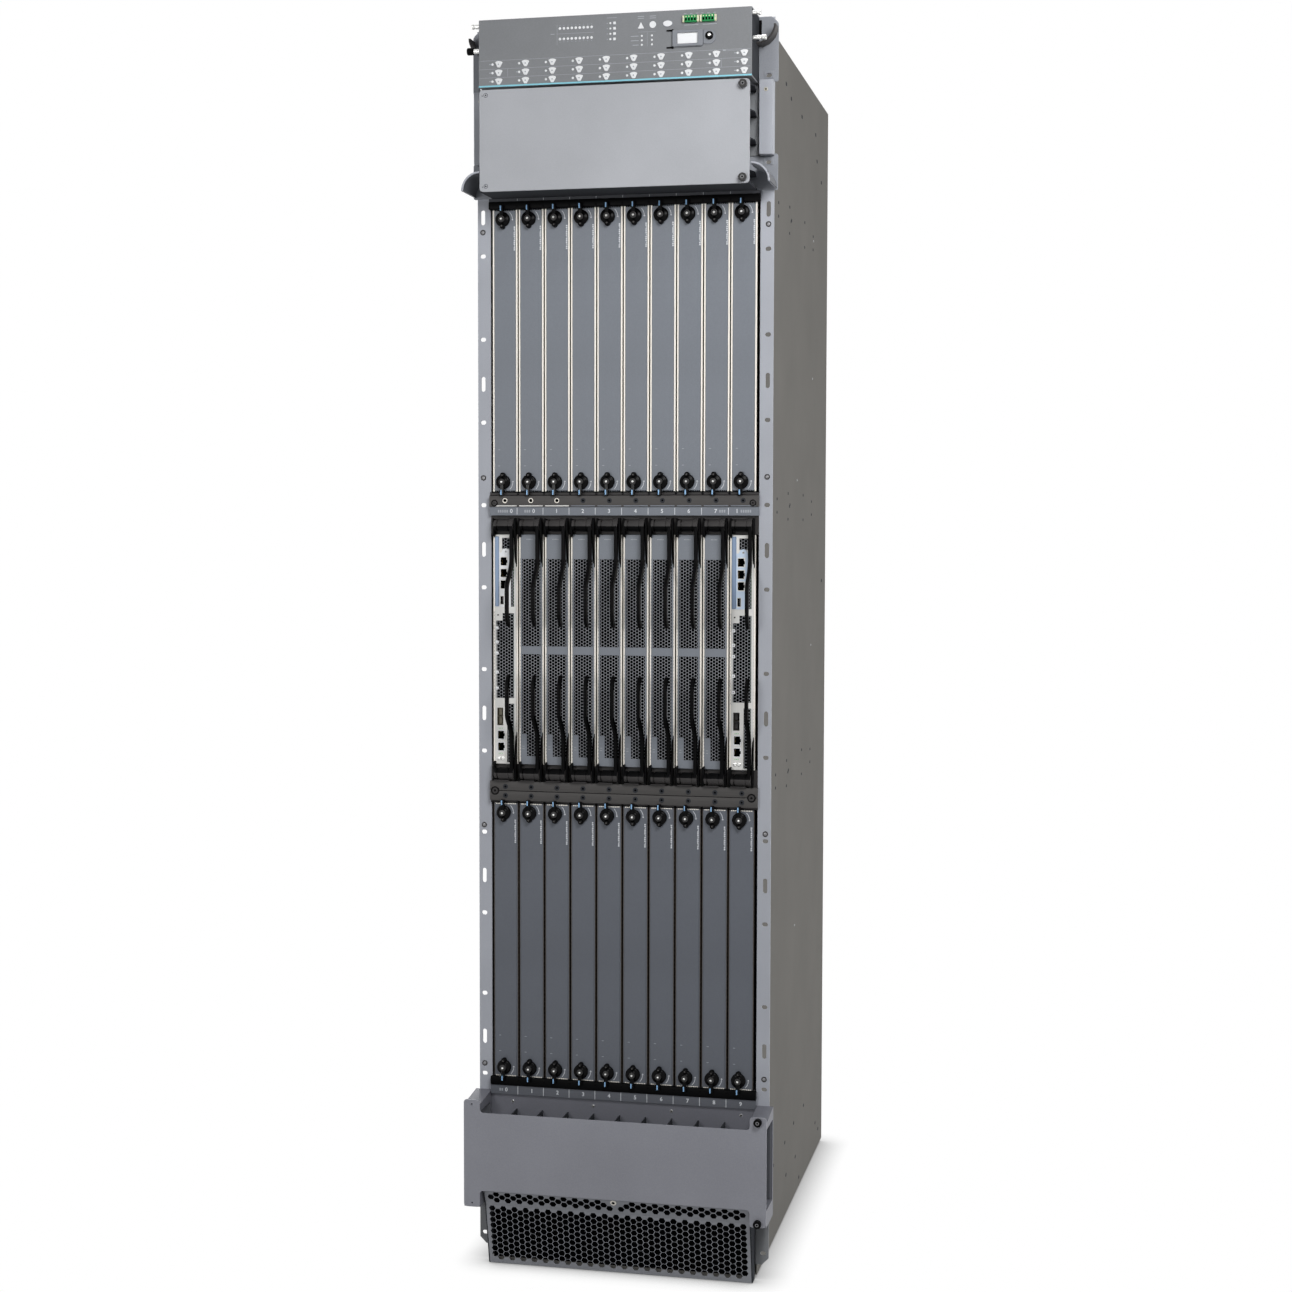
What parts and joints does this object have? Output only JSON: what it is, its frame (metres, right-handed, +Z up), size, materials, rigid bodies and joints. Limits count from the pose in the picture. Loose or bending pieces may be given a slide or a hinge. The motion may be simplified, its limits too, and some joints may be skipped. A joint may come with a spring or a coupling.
{
  "type": "ethernet router",
  "caption": "Tall rack-filling modular ethernet router with card cages, ejector handles, front cable trays, key panel and hexagon intake grille.",
  "frame": {"origin": "on the floor, on the centre line, in the front plane of the rack flanges", "axes": "+X to the right seen from the front, +Y to the rear, +Z up"},
  "size_m": [0.496, 0.898, 2.0003],
  "materials": {
    "frame_paint": "powder coat",
    "circuit_board": "solder mask",
    "rail_black": "black anodised",
    "panel_paint": "fine powder coat",
    "tray_paint": "powder coat",
    "card_paint": "powder coat",
    "board_paint": "powder coat",
    "control_silver": "nickel plate",
    "handle_black": "moulded",
    "module_zinc": "zinc plate"
  },
  "bodies": {
    "chassis": {"chassis_frame": "frame_paint", "midplane": "circuit_board", "ejector_rails": "rail_black", "craft_panel": "panel_paint", "upper_cable_tray": "tray_paint", "lower_cable_tray": "tray_paint", "cable_covers": "tray_paint", "intake_grille": "tray_paint", "fan_trays": "module_zinc", "power_modules": "module_zinc"},
    "upper_card_01": {"upper_card_01": "card_paint"},
    "lower_card_01": {"lower_card_01": "card_paint"},
    "control_board_01": {"control_board_01": "control_silver"},
    "upper_handle_01": {"upper_handle_01": "handle_black"},
    "lower_handle_01": {"lower_handle_01": "handle_black"},
    "upper_card_02": {"upper_card_02": "card_paint"},
    "lower_card_02": {"lower_card_02": "card_paint"},
    "fabric_board_02": {"fabric_board_02": "board_paint"},
    "upper_handle_02": {"upper_handle_02": "handle_black"},
    "lower_handle_02": {"lower_handle_02": "handle_black"},
    "upper_card_03": {"upper_card_03": "card_paint"},
    "lower_card_03": {"lower_card_03": "card_paint"},
    "fabric_board_03": {"fabric_board_03": "board_paint"},
    "upper_handle_03": {"upper_handle_03": "handle_black"},
    "lower_handle_03": {"lower_handle_03": "handle_black"},
    "upper_card_04": {"upper_card_04": "card_paint"},
    "lower_card_04": {"lower_card_04": "card_paint"},
    "fabric_board_04": {"fabric_board_04": "board_paint"},
    "upper_handle_04": {"upper_handle_04": "handle_black"},
    "lower_handle_04": {"lower_handle_04": "handle_black"},
    "upper_card_05": {"upper_card_05": "card_paint"},
    "lower_card_05": {"lower_card_05": "card_paint"},
    "fabric_board_05": {"fabric_board_05": "board_paint"},
    "upper_handle_05": {"upper_handle_05": "handle_black"},
    "lower_handle_05": {"lower_handle_05": "handle_black"},
    "upper_card_06": {"upper_card_06": "card_paint"},
    "lower_card_06": {"lower_card_06": "card_paint"},
    "fabric_board_06": {"fabric_board_06": "board_paint"},
    "upper_handle_06": {"upper_handle_06": "handle_black"},
    "lower_handle_06": {"lower_handle_06": "handle_black"},
    "upper_card_07": {"upper_card_07": "card_paint"},
    "lower_card_07": {"lower_card_07": "card_paint"},
    "fabric_board_07": {"fabric_board_07": "board_paint"},
    "upper_handle_07": {"upper_handle_07": "handle_black"},
    "lower_handle_07": {"lower_handle_07": "handle_black"},
    "upper_card_08": {"upper_card_08": "card_paint"},
    "lower_card_08": {"lower_card_08": "card_paint"},
    "fabric_board_08": {"fabric_board_08": "board_paint"},
    "upper_handle_08": {"upper_handle_08": "handle_black"},
    "lower_handle_08": {"lower_handle_08": "handle_black"},
    "upper_card_09": {"upper_card_09": "card_paint"},
    "lower_card_09": {"lower_card_09": "card_paint"},
    "fabric_board_09": {"fabric_board_09": "board_paint"},
    "upper_handle_09": {"upper_handle_09": "handle_black"},
    "lower_handle_09": {"lower_handle_09": "handle_black"},
    "upper_card_10": {"upper_card_10": "card_paint"},
    "lower_card_10": {"lower_card_10": "card_paint"},
    "control_board_10": {"control_board_10": "control_silver"},
    "upper_handle_10": {"upper_handle_10": "handle_black"},
    "lower_handle_10": {"lower_handle_10": "handle_black"}
  },
  "joints": [
    {"name": "upper_card_01_slide", "type": "slide", "parent": "chassis", "child": "upper_card_01", "axis": [0, -1, 0], "range_m": [0, 0.4]},
    {"name": "lower_card_01_slide", "type": "slide", "parent": "chassis", "child": "lower_card_01", "axis": [0, -1, 0], "range_m": [0, 0.4]},
    {"name": "control_board_01_slide", "type": "slide", "parent": "chassis", "child": "control_board_01", "axis": [0, -1, 0], "range_m": [0, 0.4]},
    {"name": "upper_handle_01_hinge", "type": "hinge", "parent": "control_board_01", "child": "upper_handle_01", "pos_m": [-0.19485, -0.01, 1.209], "axis": [-1, 0, 0], "range_deg": [0, 80]},
    {"name": "lower_handle_01_hinge", "type": "hinge", "parent": "control_board_01", "child": "lower_handle_01", "pos_m": [-0.19485, -0.01, 0.807], "axis": [1, 0, 0], "range_deg": [0, 80]},
    {"name": "upper_card_02_slide", "type": "slide", "parent": "chassis", "child": "upper_card_02", "axis": [0, -1, 0], "range_m": [0, 0.4]},
    {"name": "lower_card_02_slide", "type": "slide", "parent": "chassis", "child": "lower_card_02", "axis": [0, -1, 0], "range_m": [0, 0.4]},
    {"name": "fabric_board_02_slide", "type": "slide", "parent": "chassis", "child": "fabric_board_02", "axis": [0, -1, 0], "range_m": [0, 0.4]},
    {"name": "upper_handle_02_hinge", "type": "hinge", "parent": "fabric_board_02", "child": "upper_handle_02", "pos_m": [-0.15155, -0.01, 1.209], "axis": [-1, 0, 0], "range_deg": [0, 80]},
    {"name": "lower_handle_02_hinge", "type": "hinge", "parent": "fabric_board_02", "child": "lower_handle_02", "pos_m": [-0.15155, -0.01, 0.807], "axis": [1, 0, 0], "range_deg": [0, 80]},
    {"name": "upper_card_03_slide", "type": "slide", "parent": "chassis", "child": "upper_card_03", "axis": [0, -1, 0], "range_m": [0, 0.4]},
    {"name": "lower_card_03_slide", "type": "slide", "parent": "chassis", "child": "lower_card_03", "axis": [0, -1, 0], "range_m": [0, 0.4]},
    {"name": "fabric_board_03_slide", "type": "slide", "parent": "chassis", "child": "fabric_board_03", "axis": [0, -1, 0], "range_m": [0, 0.4]},
    {"name": "upper_handle_03_hinge", "type": "hinge", "parent": "fabric_board_03", "child": "upper_handle_03", "pos_m": [-0.10825, -0.01, 1.209], "axis": [-1, 0, 0], "range_deg": [0, 80]},
    {"name": "lower_handle_03_hinge", "type": "hinge", "parent": "fabric_board_03", "child": "lower_handle_03", "pos_m": [-0.10825, -0.01, 0.807], "axis": [1, 0, 0], "range_deg": [0, 80]},
    {"name": "upper_card_04_slide", "type": "slide", "parent": "chassis", "child": "upper_card_04", "axis": [0, -1, 0], "range_m": [0, 0.4]},
    {"name": "lower_card_04_slide", "type": "slide", "parent": "chassis", "child": "lower_card_04", "axis": [0, -1, 0], "range_m": [0, 0.4]},
    {"name": "fabric_board_04_slide", "type": "slide", "parent": "chassis", "child": "fabric_board_04", "axis": [0, -1, 0], "range_m": [0, 0.4]},
    {"name": "upper_handle_04_hinge", "type": "hinge", "parent": "fabric_board_04", "child": "upper_handle_04", "pos_m": [-0.06495, -0.01, 1.209], "axis": [-1, 0, 0], "range_deg": [0, 80]},
    {"name": "lower_handle_04_hinge", "type": "hinge", "parent": "fabric_board_04", "child": "lower_handle_04", "pos_m": [-0.06495, -0.01, 0.807], "axis": [1, 0, 0], "range_deg": [0, 80]},
    {"name": "upper_card_05_slide", "type": "slide", "parent": "chassis", "child": "upper_card_05", "axis": [0, -1, 0], "range_m": [0, 0.4]},
    {"name": "lower_card_05_slide", "type": "slide", "parent": "chassis", "child": "lower_card_05", "axis": [0, -1, 0], "range_m": [0, 0.4]},
    {"name": "fabric_board_05_slide", "type": "slide", "parent": "chassis", "child": "fabric_board_05", "axis": [0, -1, 0], "range_m": [0, 0.4]},
    {"name": "upper_handle_05_hinge", "type": "hinge", "parent": "fabric_board_05", "child": "upper_handle_05", "pos_m": [-0.02165, -0.01, 1.209], "axis": [-1, 0, 0], "range_deg": [0, 80]},
    {"name": "lower_handle_05_hinge", "type": "hinge", "parent": "fabric_board_05", "child": "lower_handle_05", "pos_m": [-0.02165, -0.01, 0.807], "axis": [1, 0, 0], "range_deg": [0, 80]},
    {"name": "upper_card_06_slide", "type": "slide", "parent": "chassis", "child": "upper_card_06", "axis": [0, -1, 0], "range_m": [0, 0.4]},
    {"name": "lower_card_06_slide", "type": "slide", "parent": "chassis", "child": "lower_card_06", "axis": [0, -1, 0], "range_m": [0, 0.4]},
    {"name": "fabric_board_06_slide", "type": "slide", "parent": "chassis", "child": "fabric_board_06", "axis": [0, -1, 0], "range_m": [0, 0.4]},
    {"name": "upper_handle_06_hinge", "type": "hinge", "parent": "fabric_board_06", "child": "upper_handle_06", "pos_m": [0.02165, -0.01, 1.209], "axis": [-1, 0, 0], "range_deg": [0, 80]},
    {"name": "lower_handle_06_hinge", "type": "hinge", "parent": "fabric_board_06", "child": "lower_handle_06", "pos_m": [0.02165, -0.01, 0.807], "axis": [1, 0, 0], "range_deg": [0, 80]},
    {"name": "upper_card_07_slide", "type": "slide", "parent": "chassis", "child": "upper_card_07", "axis": [0, -1, 0], "range_m": [0, 0.4]},
    {"name": "lower_card_07_slide", "type": "slide", "parent": "chassis", "child": "lower_card_07", "axis": [0, -1, 0], "range_m": [0, 0.4]},
    {"name": "fabric_board_07_slide", "type": "slide", "parent": "chassis", "child": "fabric_board_07", "axis": [0, -1, 0], "range_m": [0, 0.4]},
    {"name": "upper_handle_07_hinge", "type": "hinge", "parent": "fabric_board_07", "child": "upper_handle_07", "pos_m": [0.06495, -0.01, 1.209], "axis": [-1, 0, 0], "range_deg": [0, 80]},
    {"name": "lower_handle_07_hinge", "type": "hinge", "parent": "fabric_board_07", "child": "lower_handle_07", "pos_m": [0.06495, -0.01, 0.807], "axis": [1, 0, 0], "range_deg": [0, 80]},
    {"name": "upper_card_08_slide", "type": "slide", "parent": "chassis", "child": "upper_card_08", "axis": [0, -1, 0], "range_m": [0, 0.4]},
    {"name": "lower_card_08_slide", "type": "slide", "parent": "chassis", "child": "lower_card_08", "axis": [0, -1, 0], "range_m": [0, 0.4]},
    {"name": "fabric_board_08_slide", "type": "slide", "parent": "chassis", "child": "fabric_board_08", "axis": [0, -1, 0], "range_m": [0, 0.4]},
    {"name": "upper_handle_08_hinge", "type": "hinge", "parent": "fabric_board_08", "child": "upper_handle_08", "pos_m": [0.10825, -0.01, 1.209], "axis": [-1, 0, 0], "range_deg": [0, 80]},
    {"name": "lower_handle_08_hinge", "type": "hinge", "parent": "fabric_board_08", "child": "lower_handle_08", "pos_m": [0.10825, -0.01, 0.807], "axis": [1, 0, 0], "range_deg": [0, 80]},
    {"name": "upper_card_09_slide", "type": "slide", "parent": "chassis", "child": "upper_card_09", "axis": [0, -1, 0], "range_m": [0, 0.4]},
    {"name": "lower_card_09_slide", "type": "slide", "parent": "chassis", "child": "lower_card_09", "axis": [0, -1, 0], "range_m": [0, 0.4]},
    {"name": "fabric_board_09_slide", "type": "slide", "parent": "chassis", "child": "fabric_board_09", "axis": [0, -1, 0], "range_m": [0, 0.4]},
    {"name": "upper_handle_09_hinge", "type": "hinge", "parent": "fabric_board_09", "child": "upper_handle_09", "pos_m": [0.15155, -0.01, 1.209], "axis": [-1, 0, 0], "range_deg": [0, 80]},
    {"name": "lower_handle_09_hinge", "type": "hinge", "parent": "fabric_board_09", "child": "lower_handle_09", "pos_m": [0.15155, -0.01, 0.807], "axis": [1, 0, 0], "range_deg": [0, 80]},
    {"name": "upper_card_10_slide", "type": "slide", "parent": "chassis", "child": "upper_card_10", "axis": [0, -1, 0], "range_m": [0, 0.4]},
    {"name": "lower_card_10_slide", "type": "slide", "parent": "chassis", "child": "lower_card_10", "axis": [0, -1, 0], "range_m": [0, 0.4]},
    {"name": "control_board_10_slide", "type": "slide", "parent": "chassis", "child": "control_board_10", "axis": [0, -1, 0], "range_m": [0, 0.4]},
    {"name": "upper_handle_10_hinge", "type": "hinge", "parent": "control_board_10", "child": "upper_handle_10", "pos_m": [0.19485, -0.01, 1.209], "axis": [-1, 0, 0], "range_deg": [0, 80]},
    {"name": "lower_handle_10_hinge", "type": "hinge", "parent": "control_board_10", "child": "lower_handle_10", "pos_m": [0.19485, -0.01, 0.807], "axis": [1, 0, 0], "range_deg": [0, 80]}
  ]
}
